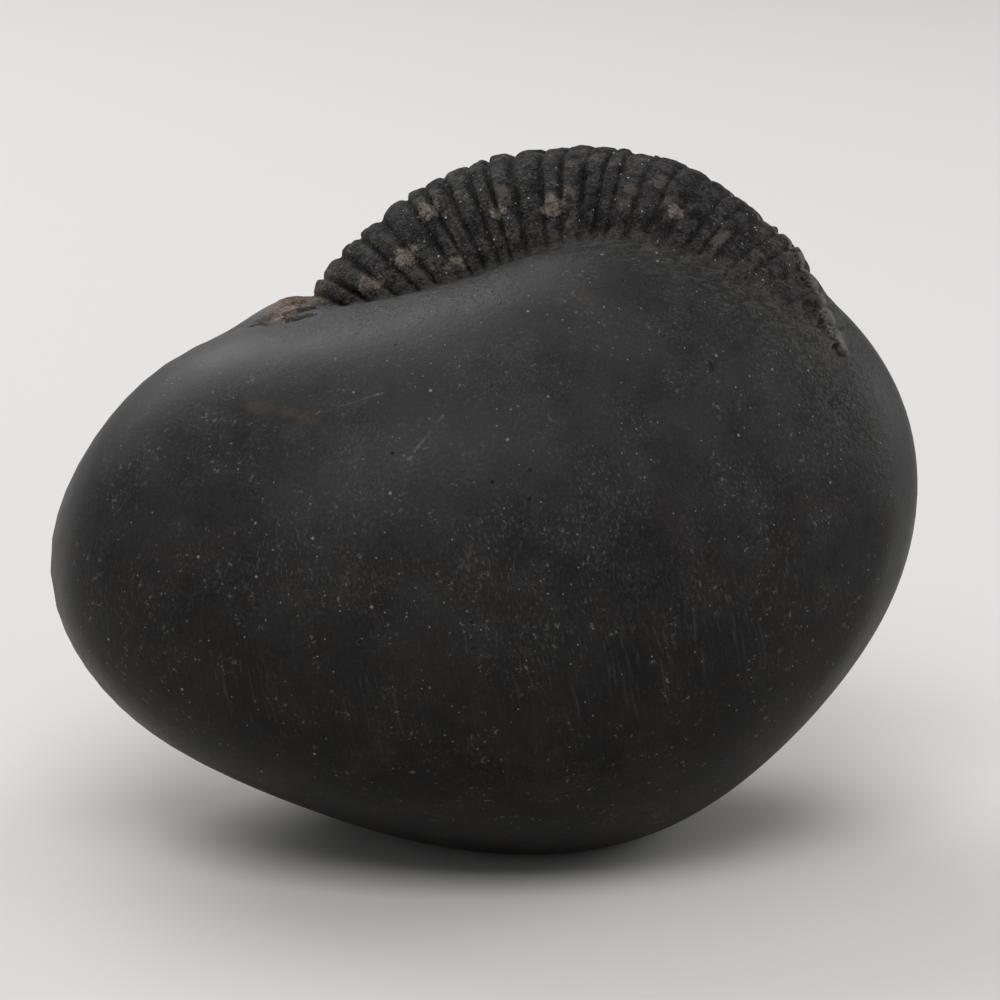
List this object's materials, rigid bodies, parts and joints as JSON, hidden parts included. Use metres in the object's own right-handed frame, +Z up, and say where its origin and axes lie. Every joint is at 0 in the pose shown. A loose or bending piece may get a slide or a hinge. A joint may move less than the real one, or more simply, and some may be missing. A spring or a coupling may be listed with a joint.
{
  "type": "fossil ammonite",
  "caption": "Fossil ammonite in a smooth, black, water-worn stone; the ribbed outer rim of its coiled shell stands out as a curved band along the top.",
  "frame": {"origin": "bottom centre of the stone's box, level with the small worn flat that it rests on", "axes": "+X along the stone's length, towards the right of the picture; +Y away from the viewer; +Z up"},
  "size_m": [0.0996, 0.0679, 0.078],
  "materials": {
    "ammonite_stone": "smooth water-worn black stone with a satin skin, rougher and paler on the ribs"
  },
  "bodies": {
    "root": {"ammonite_stone": "ammonite_stone"}
  },
  "joints": []
}
